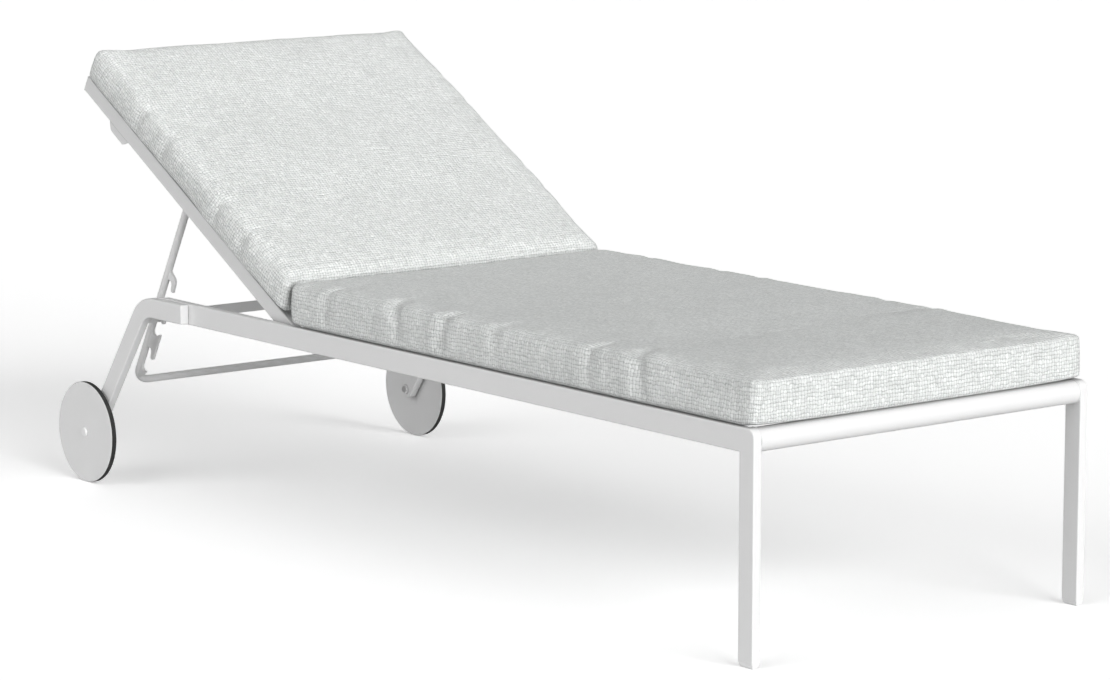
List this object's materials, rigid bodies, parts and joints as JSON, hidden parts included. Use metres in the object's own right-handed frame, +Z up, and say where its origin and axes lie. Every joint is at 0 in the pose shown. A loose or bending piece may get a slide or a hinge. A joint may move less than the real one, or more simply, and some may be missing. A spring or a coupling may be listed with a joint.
{
  "type": "reclining sun lounger",
  "caption": "Flat white tube-frame sun lounger with a hinged backrest propped by a ratchet bail, two rear wheels and loose fabric cushions.",
  "frame": {"origin": "on the floor, under the middle of the length and width at the stored pose", "axes": "+X towards the foot end, +Y towards the left hand of a person lying face up, +Z up"},
  "size_m": [1.941, 0.7654, 0.7997],
  "materials": {
    "frame_coating": "satin",
    "white_plastic": "satin",
    "wheel_plastic": "satin",
    "bush_plastic": "matte",
    "tyre_rubber": "matte",
    "fastener_steel": "satin",
    "seat_fabric": "matte",
    "back_fabric": "matte"
  },
  "bodies": {
    "frame": {"side_rail_left": "frame_coating", "side_rail_right": "frame_coating", "front_leg_left": "frame_coating", "front_leg_right": "frame_coating", "front_crossbar": "frame_coating", "rear_leg_left": "frame_coating", "rear_leg_right": "frame_coating", "ratchet_bar": "frame_coating", "seat_crossbar": "frame_coating", "axle_nuts": "frame_coating", "seat_slat_1": "frame_coating", "seat_slat_2": "frame_coating", "seat_slat_3": "frame_coating", "seat_slat_4": "frame_coating", "seat_slat_5": "frame_coating", "seat_slat_6": "frame_coating", "seat_slat_7": "frame_coating", "seat_slat_8": "frame_coating", "rail_end_cap_left": "white_plastic", "rail_end_cap_right": "white_plastic", "rear_leg_cap_left": "white_plastic", "rear_leg_cap_right": "white_plastic", "foot_glide_left": "white_plastic", "foot_glide_right": "white_plastic", "hub_cap_left": "white_plastic", "hub_cap_right": "white_plastic", "rear_leg_bolts": "fastener_steel", "hinge_bolts": "fastener_steel", "hinge_washers": "fastener_steel", "axle_bolts": "fastener_steel", "seat_cushion": "seat_fabric"},
    "backrest": {"backrest_rail_left": "frame_coating", "backrest_rail_right": "frame_coating", "backrest_cap_left": "white_plastic", "backrest_cap_right": "white_plastic", "hinge_bushes": "bush_plastic", "backrest_lower_bar": "frame_coating", "backrest_upper_bar": "frame_coating", "back_slat_1": "frame_coating", "back_slat_2": "frame_coating", "back_slat_3": "frame_coating", "back_slat_4": "frame_coating", "back_slat_5": "frame_coating", "handle_bracket_left": "frame_coating", "handle_bracket_right": "frame_coating", "lift_handle": "frame_coating", "bail_bolts": "fastener_steel", "bail_washers": "fastener_steel", "back_cushion": "back_fabric"},
    "bail": {"bail_tube": "frame_coating", "bail_eyes": "frame_coating", "hook_plate_left": "frame_coating", "hook_plate_right": "frame_coating"},
    "wheel_left": {"wheel_disc_left": "wheel_plastic", "wheel_bush_left": "bush_plastic", "tyre_left": "tyre_rubber"},
    "wheel_right": {"wheel_disc_right": "wheel_plastic", "wheel_bush_right": "bush_plastic", "tyre_right": "tyre_rubber"}
  },
  "joints": [
    {"name": "backrest_recline", "type": "hinge", "parent": "frame", "child": "backrest", "pos_m": [-0.2655, 0, 0.348], "axis": [0, 1, 0], "range_deg": [-30, 0]},
    {"name": "bail_swing", "type": "hinge", "parent": "backrest", "child": "bail", "pos_m": [-0.62014, 0, 0.55275], "axis": [0, 1, 0], "range_deg": [0, 81]},
    {"name": "wheel_left_spin", "type": "hinge", "parent": "frame", "child": "wheel_left", "pos_m": [-0.8775, 0.37375, 0.093], "axis": [0, 1, 0], "continuous": true},
    {"name": "wheel_right_spin", "type": "hinge", "parent": "frame", "child": "wheel_right", "pos_m": [-0.8775, -0.37375, 0.093], "axis": [0, 1, 0], "continuous": true}
  ],
  "couplings": [
    {"joint": "bail_swing", "follows": "backrest_recline", "ratio": -2.7}
  ]
}
